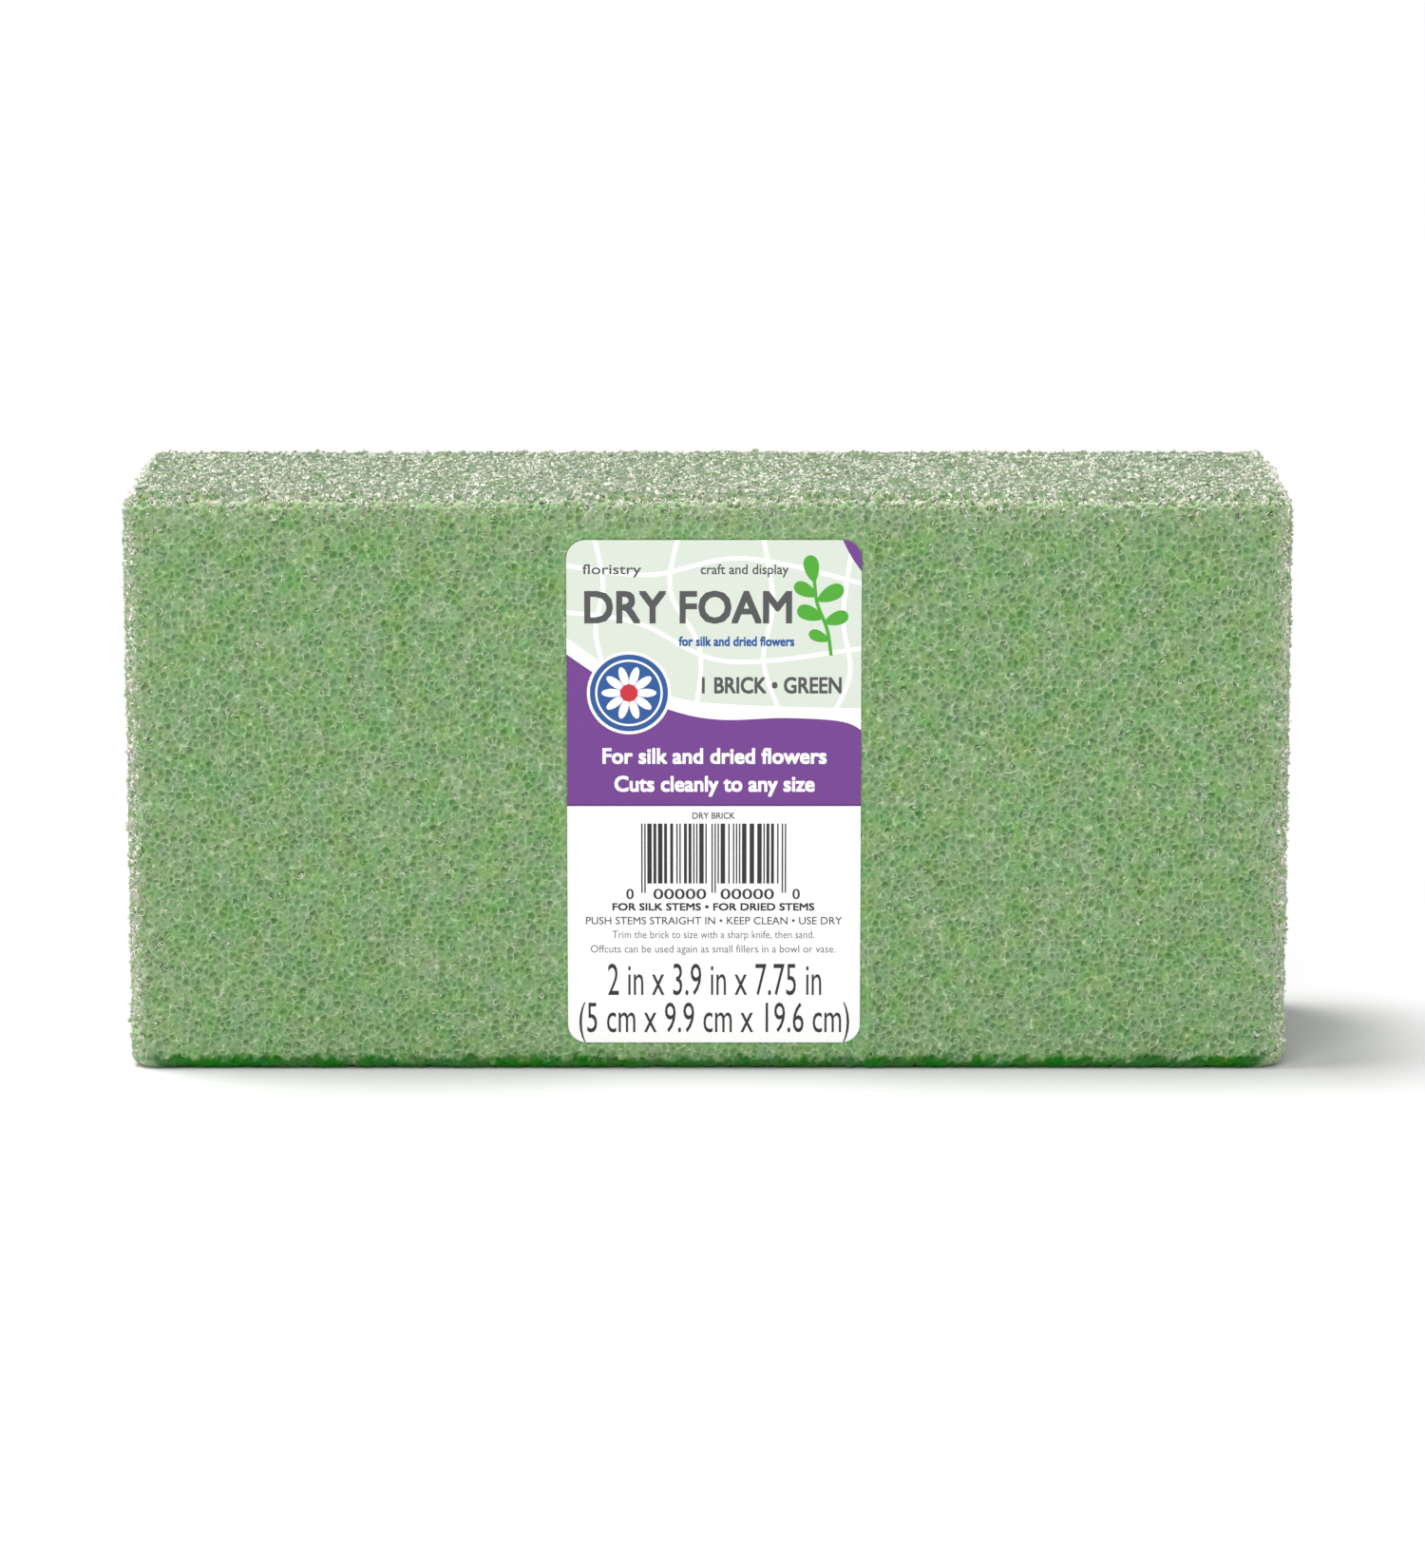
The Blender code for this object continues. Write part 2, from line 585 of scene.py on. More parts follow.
# The ends are drawn in along a quarter circle towards the foot.
lowness = add(
    relief,
    "ShaderNodeMapRange",
    [
        ("Value", height),
        ("From Min", foam_low.z),
        ("From Max", foam_low.z + FOOT_CORNER),
        ("To Min", 1.0),
        ("To Max", 0.0),
    ],
).outputs[0]
squared = add(relief, "ShaderNodeMath", [(0, lowness), (1, lowness)], operation="MULTIPLY")
what_is_left = add(
    relief, "ShaderNodeMath", [(0, 1.0), (1, squared.outputs[0])], operation="SUBTRACT"
)
curve = add(
    relief, "ShaderNodeMath", [(0, what_is_left.outputs[0]), (1, 0.5)], operation="POWER"
)
corner_share = FOOT_CORNER / (foam_size.x / 2)
narrowed = add(
    relief,
    "ShaderNodeMath",
    [(0, curve.outputs[0]), (1, corner_share), (2, 1 - corner_share)],
    operation="MULTIPLY_ADD",
)
drawn_in = add(relief, "ShaderNodeCombineXYZ", [(0, narrowed.outputs[0]), (1, 1.0), (2, 1.0)])
rounded = add(
    relief,
    "ShaderNodeVectorMath",
    [(0, standing.outputs[0]), (1, drawn_in.outputs[0])],
    operation="MULTIPLY",
)
carved = add(
    relief,
    "GeometryNodeSetPosition",
    [("Geometry", kept_facing.outputs[0]), ("Position", rounded.outputs[0])],
)

# One scrap of torn cell wall: a bit of a tube, closed all round, its top edge uneven.
# A real wall is a few hundredths of a millimetre; this one is thick enough to show.
WALL_SCRAP_RADIUS = 0.0005
WALL_SCRAP_HEIGHT = 0.0008
WALL_SCRAP_THICKNESS = 0.00009
bpy.ops.object.select_all(action="DESELECT")
bpy.ops.mesh.primitive_cylinder_add(
    vertices=6,
    radius=WALL_SCRAP_RADIUS,
    depth=WALL_SCRAP_HEIGHT,
    end_fill_type="NOTHING",
    location=(0, 0, 0),
)
scrap = bpy.context.object
bpy.ops.object.mode_set(mode="EDIT")
bpy.ops.mesh.select_mode(type="FACE")
bpy.ops.mesh.select_all(action="DESELECT")
ring = bmesh.from_edit_mesh(scrap.data)
# Three of the tube's six sides are kept.
for face in ring.faces:
    face.select = face.calc_center_median().x < 0.3 * WALL_SCRAP_RADIUS
bmesh.update_edit_mesh(scrap.data)
bpy.ops.mesh.delete(type="FACE")
ring = bmesh.from_edit_mesh(scrap.data)
for corner in ring.verts:
    if corner.co.z > 0:
        corner.co.z *= 0.55 + 0.45 * math.sin(2.6 * corner.co.y / WALL_SCRAP_RADIUS)
    corner.co.x -= 0.8 * WALL_SCRAP_RADIUS
bmesh.update_edit_mesh(scrap.data)
bpy.ops.object.mode_set(mode="OBJECT")
thickening = scrap.modifiers.new("wall", "SOLIDIFY")
thickening.thickness = WALL_SCRAP_THICKNESS
bpy.ops.object.modifier_apply(modifier=thickening.name)
scrap.data.shade_smooth()
scrap.data.uv_layers.remove(scrap.data.uv_layers[0])

# The scraps stand on every face but the one underneath, and not behind the label.
foam_place = add(
    relief, "GeometryNodeInputNamedAttribute", [("Name", PLACE)], data_type="FLOAT_VECTOR"
)
foam_facing = add(
    relief, "GeometryNodeInputNamedAttribute", [("Name", FACING)], data_type="FLOAT_VECTOR"
)
place_parts = add(relief, "ShaderNodeSeparateXYZ", [(0, foam_place.outputs[0])])
not_under = add(
    relief,
    "FunctionNodeCompare",
    [(0, place_parts.outputs[2]), (1, foam_low.z + FOOT_HEIGHT)],
    operation="GREATER_THAN",
)
crowding = add(
    relief,
    "ShaderNodeMapRange",
    [
        ("Value", wear_and_highlight_share(relief, foam_place.outputs[0], foam_facing.outputs[0])),
        ("To Min", SCRAPS_ON_BROAD_FACES),
        ("To Max", SCRAPS_ON_NARROW_FACES),
    ],
)
clear_of_label = add(
    relief, "FunctionNodeCompare", [(0, pressed), (1, 0.4)], operation="LESS_THAN"
)
bare = add(
    relief,
    "FunctionNodeBooleanMath",
    [(0, not_under.outputs[0]), (1, clear_of_label.outputs[0])],
    operation="AND",
)
spots = add(
    relief,
    "GeometryNodeDistributePointsOnFaces",
    [
        ("Mesh", carved.outputs[0]),
        ("Selection", bare.outputs[0]),
        ("Density", crowding.outputs[0]),
        ("Seed", 4),
    ],
)
upright = add(
    relief,
    "FunctionNodeAlignRotationToVector",
    [("Vector", foam_facing.outputs[0])],
    axis="Z",
)
lean = add(
    relief,
    "FunctionNodeRandomValue",
    [(0, (-0.7, -0.7, 0.0)), (1, (0.7, 0.7, math.tau)), ("Seed", 5)],
    data_type="FLOAT_VECTOR",
)
leaning = add(relief, "FunctionNodeEulerToRotation", [(0, lean.outputs[0])])
turned_scrap = add(
    relief,
    "FunctionNodeRotateRotation",
    [(0, upright.outputs[0]), (1, leaning.outputs[0])],
    rotation_space="LOCAL",
)
scrap_size = add(
    relief,
    "FunctionNodeRandomValue",
    [(0, (0.5, 0.5, 0.5)), (1, (1.3, 1.3, 1.1)), ("Seed", 6)],
    data_type="FLOAT_VECTOR",
)
scrap_shape = add(relief, "GeometryNodeObjectInfo", [("Object", scrap)])
scraps = add(
    relief,
    "GeometryNodeInstanceOnPoints",
    [
        ("Points", spots.outputs[0]),
        ("Instance", scrap_shape.outputs["Geometry"]),
        ("Rotation", turned_scrap.outputs[0]),
        ("Scale", scrap_size.outputs[0]),
    ],
)
marked = add(
    relief,
    "GeometryNodeStoreNamedAttribute",
    [("Geometry", scraps.outputs[0]), ("Name", TORN), ("Value", 1.0)],
    data_type="FLOAT",
    domain="INSTANCE",
)
real_scraps = add(relief, "GeometryNodeRealizeInstances", [(0, marked.outputs[0])])
together = add(relief, "GeometryNodeJoinGeometry", [(0, carved.outputs[0])])
relief.links.new(real_scraps.outputs[0], together.inputs[0])
add(relief, "NodeGroupOutput", [(0, together.outputs[0])])
foam.data.shade_smooth()
cutting = foam.modifiers.new("saw_cut_relief", "NODES")
cutting.node_group = relief
bpy.context.view_layer.objects.active = foam
bpy.ops.object.modifier_apply(modifier=cutting.name)
bpy.data.objects.remove(scrap, do_unlink=True)

# Dyed polystyrene foam, sawn: the thin walls let light through, so their tips are paler than the
# pockets between them, which are also painted darker as shade; the dye is uneven, and flat bits of
# wall glint.
foam_material = new_material("dyed_polystyrene_foam")
tree = foam_material.node_tree
place = add(tree, "ShaderNodeAttribute", attribute_name=PLACE).outputs["Vector"]
facing = add(tree, "ShaderNodeAttribute", attribute_name=FACING).outputs["Vector"]
depth, cells, walls = sliced_cells(tree, place, facing)
body_colour = add(tree, "ShaderNodeValToRGB", [("Fac", depth)])
ramp = body_colour.color_ramp
for stop, colour in ((0.0, "#759d5b"), (1.0, "#558942")):
    ramp.elements[int(stop)].color = linear(colour)
middle_stop = ramp.elements.new(0.35)
middle_stop.color = linear("#679451")
# Painted shade: dark middles, where the pocket runs on down into the next cell.
holes = add(
    tree,
    "ShaderNodeMapRange",
    [("Value", cells.outputs["Distance"]), ("From Min", 0.34), ("From Max", 0.06)],
    interpolation_type="SMOOTHSTEP",
)
cell_lot = add(tree, "ShaderNodeSeparateColor", [(0, cells.outputs["Color"])])
rarely = add(
    tree,
    "ShaderNodeMapRange",
    [("Value", cell_lot.outputs[0]), ("From Min", 0.3), ("From Max", 1.0), ("To Max", 0.75)],
)
hole_shade = add(
    tree,
    "ShaderNodeMath",
    [(0, holes.outputs[0]), (1, rarely.outputs[0])],
    operation="MULTIPLY",
)
darkened = add(
    tree,
    "ShaderNodeMix",
    [(0, hole_shade.outputs[0]), (6, body_colour.outputs[0]), (7, linear("#3d7630"))],
    data_type="RGBA",
)
# Pale rims, which come and go along a wall.
rims = add(
    tree,
    "ShaderNodeMapRange",
    [("Value", walls.outputs["Distance"]), ("From Min", 0.19), ("From Max", 0.02)],
    interpolation_type="SMOOTHSTEP",
)
gaps = add(tree, "ShaderNodeTexNoise", [("Vector", place), ("Scale", 900), ("Detail", 2)])
rim_mask = add(
    tree,
    "ShaderNodeMapRange",
    [("Value", gaps.outputs[0]), ("From Min", 0.44), ("From Max", 0.68)],
    interpolation_type="SMOOTHSTEP",
)
rim_amount = add(
    tree,
    "ShaderNodeMath",
    [(0, rims.outputs[0]), (1, rim_mask.outputs[0])],
    operation="MULTIPLY",
)
rimmed = add(
    tree,
    "ShaderNodeMix",
    [(0, rim_amount.outputs[0]), (6, darkened.outputs[2]), (7, linear("#a9c592"))],
    data_type="RGBA",
)
torn = add(tree, "ShaderNodeAttribute", attribute_name=TORN).outputs["Fac"]
scrap_lot = add(tree, "ShaderNodeTexWhiteNoise", [("Vector", place)])
wear_and_highlight = wear_and_highlight_share(tree, place, facing)
# A few are nearly white, most only paler than the body.
seldom = add(
    tree,
    "ShaderNodeMath",
    [(0, scrap_lot.outputs["Value"]), (1, 2.0)],
    operation="POWER",
)
whitest = add(
    tree, "ShaderNodeMapRange", [("Value", wear_and_highlight), ("To Min", 0.6), ("To Max", 1.0)]
)
bend = add(
    tree,
    "ShaderNodeMapRange",
    [("Value", bend_share(tree, facing)), ("From Max", 0.15)],
).outputs[0]
# Scraps round the edges are painted whiter still, a painted highlight that lifts their shaded
# fronts.
edge_highlight = add(tree, "ShaderNodeMath", [(0, bend), (1, 0.35)], operation="MULTIPLY")
scrap_white = add(
    tree,
    "ShaderNodeMath",
    [(0, seldom.outputs[0]), (1, whitest.outputs[0]), (2, edge_highlight.outputs[0])],
    operation="MULTIPLY_ADD",
    use_clamp=True,
)
# Scraps on worn parts are paler, partly a painted highlight.
green_scrap = add(
    tree,
    "ShaderNodeMix",
    [(0, wear_and_highlight), (6, linear("#88ad70")), (7, linear("#91a57c"))],
    data_type="RGBA",
)
scrap_colour = add(
    tree,
    "ShaderNodeMix",
    [(0, scrap_white.outputs[0]), (6, green_scrap.outputs[2]), (7, linear("#fdf6f0"))],
    data_type="RGBA",
)
# Worn parts are speckled with bruised walls, which have gone pale; the pale speckle is partly a
# painted highlight, palest round the edges.
pale_speckle_noise = add(tree, "ShaderNodeTexNoise", [("Vector", place), ("Scale", 1300), ("Detail", 2)])
pale_speckle_mask = add(
    tree,
    "ShaderNodeMapRange",
    [("Value", pale_speckle_noise.outputs[0]), ("From Min", 0.42), ("From Max", 0.62), ("To Max", 0.8)],
    interpolation_type="SMOOTHSTEP",
)
pale_speckle = add(
    tree,
    "ShaderNodeMath",
    [(0, pale_speckle_mask.outputs[0]), (1, wear_and_highlight)],
    operation="MULTIPLY",
)
pale_speckle_colour = add(
    tree,
    "ShaderNodeMix",
    [(0, bend), (6, linear("#a8b190")), (7, linear("#c2bdab"))],
    data_type="RGBA",
)
speckled = add(
    tree,
    "ShaderNodeMix",
    [(0, pale_speckle.outputs[0]), (6, rimmed.outputs[2]), (7, pale_speckle_colour.outputs[2])],
    data_type="RGBA",
)
whole = add(
    tree,
    "ShaderNodeMix",
    [(0, torn), (6, speckled.outputs[2]), (7, scrap_colour.outputs[2])],
    data_type="RGBA",
)
# Painted shade: the top's open pockets are deeper, and so painted darker between their pale scraps.
facing_parts = add(tree, "ShaderNodeSeparateXYZ", [(0, facing)])
upward = add(
    tree,
    "ShaderNodeMapRange",
    [("Value", facing_parts.outputs[2]), ("From Min", 0.6), ("From Max", 1.0), ("To Max", 0.6)],
)
top_pocket_shade = add(
    tree,
    "ShaderNodeMath",
    [(0, upward.outputs[0]), (1, torn)],
    operation="SUBTRACT",
    use_clamp=True,
)
shaded = add(
    tree,
    "ShaderNodeMix",
    [(0, top_pocket_shade.outputs[0]), (6, whole.outputs[2]), (7, linear("#2b5420"))],
    data_type="RGBA",
)
# Painted shade along the foot: a darker, greener strip where the block meets what it stands on, but
# not at its ends.
place_parts = add(tree, "ShaderNodeSeparateXYZ", [(0, place)])
ragged = add(tree, "ShaderNodeTexNoise", [("Vector", place), ("Scale", 650), ("Detail", 2)])
foot_shade_line = add(
    tree,
    "ShaderNodeMath",
    [(0, ragged.outputs[0]), (1, -1.8 * FOOT_HEIGHT), (2, place_parts.outputs[2])],
    operation="MULTIPLY_ADD",
)
sideways = add(
    tree, "ShaderNodeMath", [(0, place_parts.outputs[0])], operation="ABSOLUTE"
)
off_the_ends = add(
    tree,
    "ShaderNodeMapRange",
    [
        ("Value", sideways.outputs[0]),
        ("From Min", foam_size.x / 2 - FOOT_CORNER),
        ("From Max", foam_size.x / 2 - 2 * FOOT_CORNER),
        ("To Max", 0.97),
    ],
)
foot_shade_share = add(
    tree,
    "ShaderNodeMapRange",
    [
        ("Value", foot_shade_line.outputs[0]),
        ("From Min", 0.35 * FOOT_HEIGHT),
        ("From Max", -0.35 * FOOT_HEIGHT),
        ("To Max", off_the_ends.outputs[0]),
    ],
    interpolation_type="SMOOTHSTEP",
)
foot_shaded = add(
    tree,
    "ShaderNodeMix",
    [(0, foot_shade_share.outputs[0]), (6, shaded.outputs[2]), (7, linear("#17660a"))],
    data_type="RGBA",
)
# The dye takes unevenly, in patches 3 to 8 mm across.
patches = add(
    tree, "ShaderNodeTexNoise", [("Vector", place), ("Scale", 190), ("Detail", 3)]
)
patch_lot = add(tree, "ShaderNodeSeparateColor", [(0, patches.outputs["Color"])])
grain = add(tree, "ShaderNodeTexNoise", [("Vector", place), ("Scale", 2200), ("Detail", 2)])
dyed = add(tree, "ShaderNodeHueSaturation", [("Color", foot_shaded.outputs[2])])
for socket, source, low, high in (
    ("Hue", patch_lot.outputs[0], 0.482, 0.518),
    ("Saturation", patch_lot.outputs[1], 0.75, 1.12),
    ("Value", grain.outputs[0], 0.86, 1.14),
):
    spread = add(
        tree,
        "ShaderNodeMapRange",
        [
            ("Value", source),
            ("From Min", 0.3),
            ("From Max", 0.7),
            ("To Min", low),
            ("To Max", high),
        ],
    )
    tree.links.new(spread.outputs[0], dyed.inputs[socket])
wall_height = add(
    tree,
    "ShaderNodeMath",
    [(0, grain.outputs[0]), (1, 0.3), (2, rim_amount.outputs[0])],
    operation="MULTIPLY_ADD",
)
tips = add(
    tree,
    "ShaderNodeBump",
    [("Height", wall_height.outputs[0]), ("Strength", 0.6), ("Distance", 0.0003)],
)
gloss = add(
    tree,
    "ShaderNodeMapRange",
    [
        ("Value", cell_lot.outputs[1]),
        ("From Min", 0.85),
        ("From Max", 0.95),
        ("To Min", 0.5),
        ("To Max", 0.22),
    ],
)
torn_gloss = add(
    tree, "ShaderNodeMix", [(0, torn), (2, gloss.outputs[0]), (3, 0.25)]
)
# Along the painted foot shade the walls hardly shine.
reflection, fuzz = (
    add(
        tree,
        "ShaderNodeMapRange",
        [("Value", foot_shade_share.outputs[0]), ("To Min", elsewhere), ("To Max", at_foot)],
    )
    for elsewhere, at_foot in ((0.5, 0.1), (0.35, 0.0))
)
foam_shader = add(
    tree,
    "ShaderNodeBsdfPrincipled",
    [
        ("Base Color", dyed.outputs[0]),
        ("Roughness", torn_gloss.outputs[0]),
        ("IOR", 1.59),
        ("Specular IOR Level", reflection.outputs[0]),
        ("Normal", tips.outputs[0]),
        ("Sheen Weight", fuzz.outputs[0]),
        ("Sheen Roughness", 0.4),
    ],
)
add(tree, "ShaderNodeOutputMaterial", [("Surface", foam_shader.outputs[0])])
foam.data.materials.clear()
foam.data.materials.append(foam_material)
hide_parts("foam_block")
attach(foam, "root")

# ---------------------------------------------------------------------------
# The label: one die-cut sheet of white gloss-coated paper, printed in flat inks
# and stuck to the front. Its wording and its pictures are plain, general ones.
# Places on the label are in millimetres from its lower left corner.
LABEL_CORNER_RADIUS = 3.2
LABEL_CORNER_STEPS = 8
# How tall a capital of Blender's own typeface is, as a share of its size.
LETTER_CAP_HEIGHT = 0.729
label_across, label_up = label_size.x * 1000, label_size.z * 1000
print_layers = []


def flowing(points, steps=8):
    """A smooth line through a few points."""
    ends = [points[0], *points, points[-1]]
    line = []
    for four in zip(ends, ends[1:], ends[2:], ends[3:]):
        for step in range(steps):
            t = step / steps
            line.append(
                tuple(
                    0.5 * (2 * b + (c - a) * t + (2 * a - 5 * b + 4 * c - d) * t**2)
                    + 0.5 * (3 * b - a - 3 * c + d) * t**3
                    for a, b, c, d in zip(*four)
                )
            )
    return line + [tuple(points[-1])]


def ribbon(line, width):
    """The outline of a line drawn with a nib of one width."""
    left, right = [], []
    for before, here, after in zip([line[0], *line], line, [*line[1:], line[-1]]):
        run = Vector(after) - Vector(before)
        side = Vector((-run.y, run.x)).normalized() * width / 2
        left.append(tuple(Vector(here) + side))
        right.append(tuple(Vector(here) - side))
    return left + right[::-1]


def arc(centre, radius, start, stop, steps):
    """Points along part of a circle, its angles in degrees."""
    turns = (math.radians(start + (stop - start) * step / steps) for step in range(steps + 1))
    return [(centre[0] + radius * math.cos(t), centre[1] + radius * math.sin(t)) for t in turns]


def disc(centre, radius):
    """A circle's outline."""
    return arc(centre, radius, 0, 360, 48)[:-1]


def lettering(words, left, right, foot, head):
    """The outlines of a line of letters, drawn out to fill its place on the label."""
    bpy.ops.object.select_all(action="DESELECT")
    bpy.ops.object.text_add(location=(0, 0, 0))
    line = bpy.context.object
    line.data.body = words
    line.data.fill_mode = "NONE"
    line.data.resolution_u = 3
    bpy.ops.object.convert(target="MESH")
    drawn = bpy.context.object
    outlines = bmesh.new()
    outlines.from_mesh(drawn.data)
    bpy.data.objects.remove(drawn, do_unlink=True)
    loops, seen = [], set()
    for first in outlines.verts:
        here, loop = first, []
        while here is not None and here not in seen:
            seen.add(here)
            loop.append(here.co.to_2d())
            onward = [edge.other_vert(here) for edge in here.link_edges]
            here = next((corner for corner in onward if corner not in seen), None)
        if len(loop) > 2:
            loops.append(loop)
    outlines.free()
    low = min(corner.x for loop in loops for corner in loop)
    high = max(corner.x for loop in loops for corner in loop)
    wide, tall = (right - left) / (high - low), (head - foot) / LETTER_CAP_HEIGHT
    return [[(left + (c.x - low) * wide, foot + c.y * tall) for c in loop] for loop in loops]


inks = {}


def ink(name, colour):
    """A flat printed ink, or the bare coated paper: smooth, and a little uneven in its gloss."""
    made = new_material(name)
    tree = made.node_tree
    spot = add(tree, "ShaderNodeTexCoord").outputs["Object"]
    mottle = add(tree, "ShaderNodeTexNoise", [("Vector", spot), ("Scale", 900), ("Detail", 3)])
    sheen = add(
        tree,
        "ShaderNodeMapRange",
        [("Value", mottle.outputs[0]), ("To Min", 0.28), ("To Max", 0.5)],
    )
    fibres = add(tree, "ShaderNodeTexNoise", [("Vector", spot), ("Scale", 2600), ("Detail", 2)])
    nap = add(
        tree,
        "ShaderNodeBump",
        [("Height", fibres.outputs[0]), ("Strength", 0.12), ("Distance", 0.0001)],
    )
    shader = add(
        tree,
        "ShaderNodeBsdfPrincipled",
        [
            ("Base Color", linear(colour)),
            ("Roughness", sheen.outputs[0]),
            ("IOR", 1.5),
            ("Normal", nap.outputs[0]),
        ],
    )
    add(tree, "ShaderNodeOutputMaterial", [("Surface", shader.outputs[0])])
    inks[name] = len(inks), made


ink("gloss_coated_paper", "#f5f5f4")
ink("pale_green_offset_ink", "#d3dccf")
ink("purple_offset_ink", "#6b3188")
ink("deep_purple_offset_ink", "#53246c")
ink("leaf_green_offset_ink", "#45a321")
ink("blue_offset_ink", "#124f93")
ink("red_offset_ink", "#c41a2c")
ink("charcoal_offset_ink", "#4a4a4c")
ink("black_offset_ink", "#1c1a1b")


def lay(name, *loops):
    """Prints outlines on the label in one ink, over what is there already."""
    print_layers.append((inks[name][0], loops))


# The die-cut outline.
inner = LABEL_CORNER_RADIUS
die_corners = (
    ((label_across - inner, inner), -90),
    ((label_across - inner, label_up - inner), 0),
    ((inner, label_up - inner), 90),
    ((inner, inner), 180),
)
die_cut = []
for centre, start in die_corners:
    die_cut += arc(centre, inner, start, start + 90, LABEL_CORNER_STEPS)
lay("gloss_coated_paper", die_cut)
# The pale field above, crossed by a few white paths, and the sweep of white under it.
field_edge = flowing([(-1, 70.2), (8, 64.2), (17.9, 59.4), (25, 58.5), (33, 58.2), (51, 57.8)])
lay("pale_green_offset_ink", [*field_edge, (51, 88), (-1, 88)])
for path in (
    [(4.5, 88), (6.2, 79), (5.0, 70), (9.5, 56)],
    [(-1, 82.5), (14, 80.8), (30, 83.6), (51, 79.0)],
    [(19.0, 88), (17.5, 78), (22.5, 68), (21.5, 56)],
    [(-1, 74.5), (12, 72.6), (27, 66.0), (51, 68.4)],
    [(33.0, 88), (34.8, 76), (33.2, 66), (36.5, 56)],
    [(48.5, 88), (46.6, 74), (47.8, 64), (44.5, 56)],
):
    lay("gloss_coated_paper", ribbon(flowing(path), 0.75))
sweep = ribbon(flowing([(-1, 69.4), (8, 63.2), (17.9, 58.8), (30, 57.4), (51, 56.8)]), 2.2)
lay("gloss_coated_paper", sweep)
# The purple band with its wavy top, and the purple corner.
band_top = flowing(
    [(-1, 67.9), (8, 61.9), (17.7, 57.6), (26, 56.0), (37, 56.3), (46.8, 55.6), (51, 53.2)]
)
BAND_FOOT = 41.1
BAND_HEM = BAND_FOOT + 0.35
lay("purple_offset_ink", [*band_top, (51, BAND_FOOT), (-1, BAND_FOOT)])
lay("deep_purple_offset_ink", [(-1, BAND_FOOT), (51, BAND_FOOT), (51, BAND_HEM), (-1, BAND_HEM)])
lay("purple_offset_ink", [*flowing([(45.9, 88), (48.0, 83.8), (51, 79.6)]), (51, 88)])
# A sprig: one bent stem with small round leaves on both sides of it.
stem = flowing([(44.6, 67.0), (43.9, 71.5), (42.2, 76.0), (41.7, 80.2)])
lay("leaf_green_offset_ink", ribbon(stem, 0.6))
LEAF_CORNERS = 24
for joint, turn, length, breadth in (
    ((41.7, 79.6), 100, 4.6, 2.5),
    ((42.3, 76.4), 28, 4.9, 2.6),
    ((42.1, 77.2), 152, 4.2, 2.3),
    ((43.5, 72.6), 20, 4.2, 2.3),
    ((43.2, 73.4), 160, 4.6, 2.5),
    ((44.2, 69.6), 158, 3.6, 1.9),
):
    along = Vector((math.cos(math.radians(turn)), math.sin(math.radians(turn))))
    aside = Vector((-along.y, along.x))
    leaf = []
    for step in range(LEAF_CORNERS):
        t = math.tau * step / LEAF_CORNERS
        # Fuller near the tip than at the stem.
        swell = breadth / 2 * (1 - 0.3 * math.cos(t))
        spot = along * length / 2 * (1 - math.cos(t)) + aside * swell * math.sin(t)
        leaf.append(tuple(Vector(joint) + spot))
    lay("leaf_green_offset_ink", leaf)
# A round badge with a daisy.
BADGE = (10.5, 60.6)
for name, radius in (
    ("gloss_coated_paper", 7.1),
    ("blue_offset_ink", 6.6),
    ("gloss_coated_paper", 5.7),
    ("blue_offset_ink", 5.35),
):
    lay(name, disc(BADGE, radius))
PETALS = 10
PETAL_CORNERS = 14
PETAL_MIDDLE, PETAL_REACH, PETAL_BREADTH = 2.9, 1.75, 0.72
for petal in range(PETALS):
    turn = math.tau * petal / PETALS
    out = Vector((math.cos(turn), math.sin(turn)))
    across = Vector((-out.y, out.x))
    shape = []
    for step in range(PETAL_CORNERS):
        t = math.tau * step / PETAL_CORNERS
        spot = out * (PETAL_MIDDLE + PETAL_REACH * math.cos(t))
        spot += across * PETAL_BREADTH * math.sin(t)
        shape.append(tuple(Vector(BADGE) + spot))
    lay("gloss_coated_paper", shape)
lay("red_offset_ink", disc(BADGE, 1.5))


def strike(name, words, left, right, foot, head, shifts=((0, 0),)):
    """Prints a line of letters in one ink, once for each shift."""
    letters = lettering(words, left, right, foot, head)
    for shift in shifts:
        lay(name, *[[tuple(Vector(spot) + Vector(shift)) for spot in loop] for loop in letters])


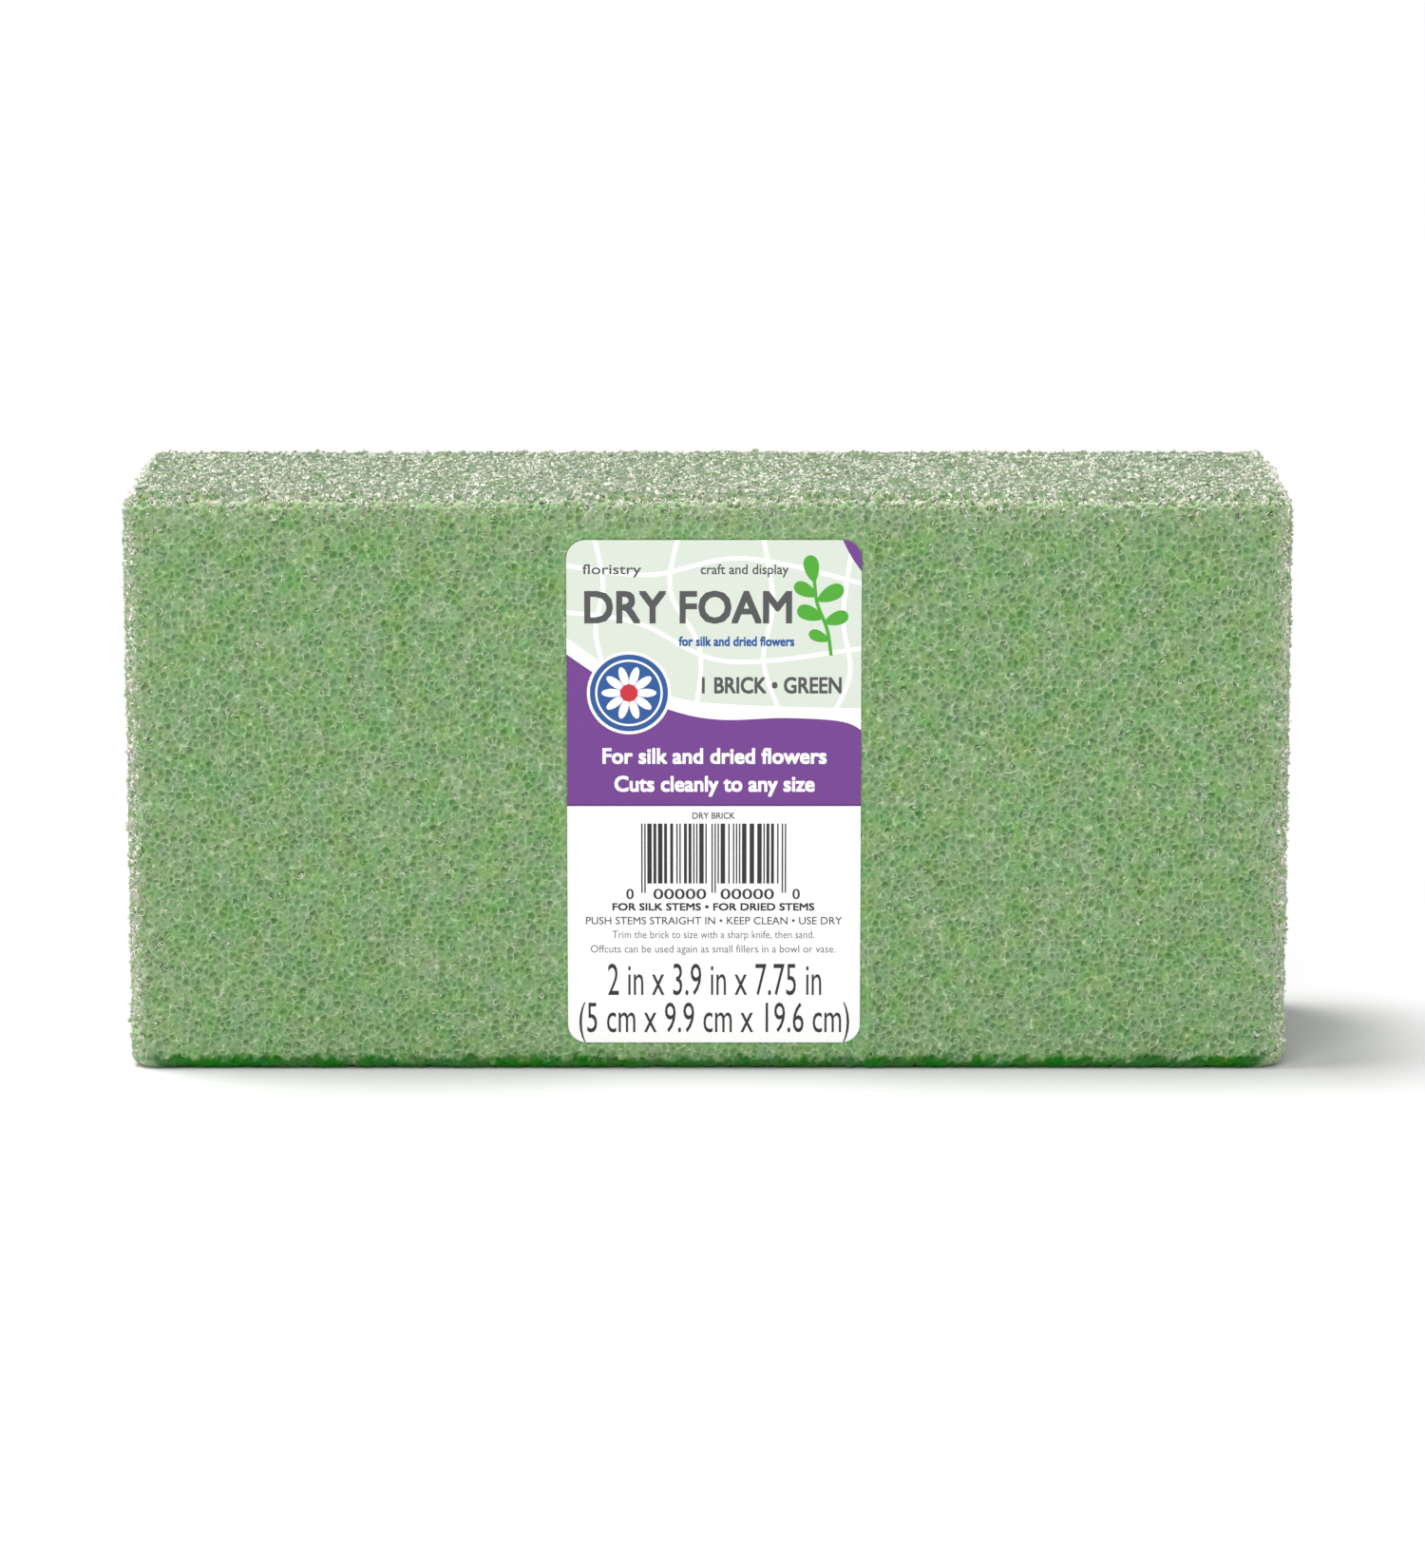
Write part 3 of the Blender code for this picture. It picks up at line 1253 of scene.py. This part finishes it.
# The lettering: ink, words, left and right end, foot, head, and half its extra weight.
# Bold letters are struck four times, that far to each side. White ones are bare paper.
BULLET = "\u2022"
GREY, BLACK, WHITE = "charcoal_offset_ink", "black_offset_ink", "gloss_coated_paper"
CARE = f"PUSH STEMS STRAIGHT IN {BULLET} KEEP CLEAN {BULLET} USE DRY"
OFFCUTS = "Offcuts can be used again as small fillers in a bowl or vase."
for name, words, left, right, foot, head, weight in (
    (GREY, "DRY FOAM", 3.0, 38.0, 72.5, 78.4, 0.17),
    (GREY, "floristry", 2.7, 12.6, 80.9, 82.7, 0.03),
    (GREY, "craft and display", 22.6, 37.4, 80.9, 82.7, 0.03),
    ("blue_offset_ink", "for silk and dried flowers", 18.9, 38.4, 68.6, 70.4, 0.07),
    (GREY, f"1 BRICK {BULLET} GREEN", 22.8, 46.4, 60.5, 63.5, 0.09),
    (WHITE, "For silk and dried flowers", 6.0, 43.9, 48.4, 51.3, 0.1),
    (WHITE, "Cuts cleanly to any size", 8.0, 41.9, 43.6, 46.5, 0.1),
    (GREY, "DRY BRICK", 21.2, 28.4, 38.9, 40.1, 0.03),
    (BLACK, f"FOR SILK STEMS {BULLET} FOR DRIED STEMS", 7.6, 41.9, 23.0, 24.4, 0.06),
    (GREY, CARE, 3.1, 46.6, 20.6, 22.0, 0.02),
    (GREY, "Trim the brick to size with a sharp knife, then sand.", 7.6, 41.9, 18.2, 19.6, 0.0),
    (GREY, OFFCUTS, 3.9, 45.5, 15.7, 17.1, 0.0),
    (BLACK, "2 in x 3.9 in x 7.75 in", 6.8, 43.1, 8.3, 14.1, 0.0),
    (BLACK, "(5 cm x 9.9 cm x 19.6 cm)", 1.9, 47.9, 1.8, 7.3, 0.0),
):
    shifts = [(over * weight, up * weight) for over in (-1, 1) for up in (-1, 1)]
    strike(
        name,
        words,
        left + weight,
        right - weight,
        foot + weight,
        head - weight,
        shifts if weight else ((0, 0),),
    )
# A made-up barcode: dark bars of one to three modules, with longer guards, and noughts.
BARCODE_LEFT, BARCODE_RIGHT, BARCODE_MODULES = 12.5, 37.1, 95
BARCODE_TOP, BARCODE_FOOT, GUARD_FOOT = 38.1, 27.7, 26.1
module = (BARCODE_RIGHT - BARCODE_LEFT) / BARCODE_MODULES
bars = random.Random(12)
GUARDS = ((0, 1), (2, 1), (46, 1), (48, 1), (92, 1), (94, 1))
marks = [(start, width, GUARD_FOOT) for start, width in GUARDS]
for first, last in ((4, 44), (50, 90)):
    at = first
    while at < last:
        width = bars.choice((1, 1, 2, 3))
        marks.append((at, min(width, last - at), BARCODE_FOOT))
        at += width + bars.choice((1, 1, 1, 2))
for start, width, foot in marks:
    left, right = BARCODE_LEFT + start * module, BARCODE_LEFT + (start + width) * module
    lay(BLACK, [(left, foot), (right, foot), (right, BARCODE_TOP), (left, BARCODE_TOP)])
DIGITS_FOOT, DIGITS_HEAD = 25.0, 26.9
for digits, left, right in (
    ("0", 10.0, 11.2),
    ("00000", 14.6, 23.5),
    ("00000", 26.0, 35.0),
    ("0", 38.2, 39.4),
):
    strike(BLACK, digits, left, right, DIGITS_FOOT, DIGITS_HEAD, ((-0.05, 0), (0.05, 0)))

# The sheet itself is cut up along every printed outline, so that each ink has its own
# faces and stays sharp at any distance. The ink laid last shows.
corners, outlines, layer_of = [], [], []
for number, (_, loops) in enumerate(print_layers):
    for loop in loops:
        doubled_area = sum(a[0] * b[1] - b[0] * a[1] for a, b in zip(loop, [*loop[1:], loop[0]]))
        start = len(corners)
        corners += [Vector(spot) for spot in (loop if doubled_area > 0 else loop[::-1])]
        outlines.append(list(range(start, len(corners))))
        layer_of.append(number)
spots, _, tiles, _, _, tile_outlines = delaunay_2d_cdt(corners, [], outlines, 0, 1e-5, True)
sheet = bmesh.new()
sheet_corners = [
    sheet.verts.new((label_low.x + x / 1000, label_low.y, label_low.z + z / 1000)) for x, z in spots
]
for tile, inside in zip(tiles, tile_outlines):
    crossings = Counter(layer_of[outline] for outline in inside)
    covering = [number for number, times in crossings.items() if times % 2]
    if 0 in covering:
        face = sheet.faces.new([sheet_corners[corner] for corner in tile])
        face.material_index = print_layers[max(covering)][0]
loose = [corner for corner in sheet.verts if not corner.link_faces]
bmesh.ops.delete(sheet, geom=loose, context="VERTS")
label_mesh = bpy.data.meshes.new("printed_label")
sheet.to_mesh(label_mesh)
sheet.free()
label = bpy.data.objects.new("printed_label", label_mesh)
scene.collection.objects.link(label)
for _, made in inks.values():
    label_mesh.materials.append(made)
bpy.context.view_layer.objects.active = label
paper = label.modifiers.new("paper", "SOLIDIFY")
paper.thickness = label_size.y
paper.offset = -1.0
bpy.ops.object.modifier_apply(modifier=paper.name)
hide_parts("label_face")
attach(label, "root")

# ---------------------------------------------------------------------------
# The adhesive: a thin coat of clear acrylic on the label's back. It touches the foam
# only at the wall tips, and is milky where it wets them.
clear_adhesive = new_material("pressure_sensitive_acrylic_adhesive")
tree = clear_adhesive.node_tree
spot = add(tree, "ShaderNodeTexCoord").outputs["Object"]
contacts = add(
    tree, "ShaderNodeTexVoronoi", [("Vector", spot), ("Scale", 1 / CELL_PITCH)], feature="F1"
)
wetted = add(tree, "ShaderNodeValToRGB", [("Fac", contacts.outputs["Distance"])])
wetted.color_ramp.elements[0].color = linear("#a9c398")
wetted.color_ramp.elements[1].color = linear("#dfe6d6")
tack = add(
    tree,
    "ShaderNodeBump",
    [("Height", contacts.outputs["Distance"]), ("Strength", 0.3), ("Distance", 0.0001)],
)
tacky = add(
    tree,
    "ShaderNodeBsdfPrincipled",
    [
        ("Base Color", wetted.outputs[0]),
        ("Roughness", 0.22),
        ("IOR", 1.47),
        ("Normal", tack.outputs[0]),
    ],
)
add(tree, "ShaderNodeOutputMaterial", [("Surface", tacky.outputs[0])])
for coat in bpy.data.objects["label_adhesive"].material_slots:
    coat.material = clear_adhesive
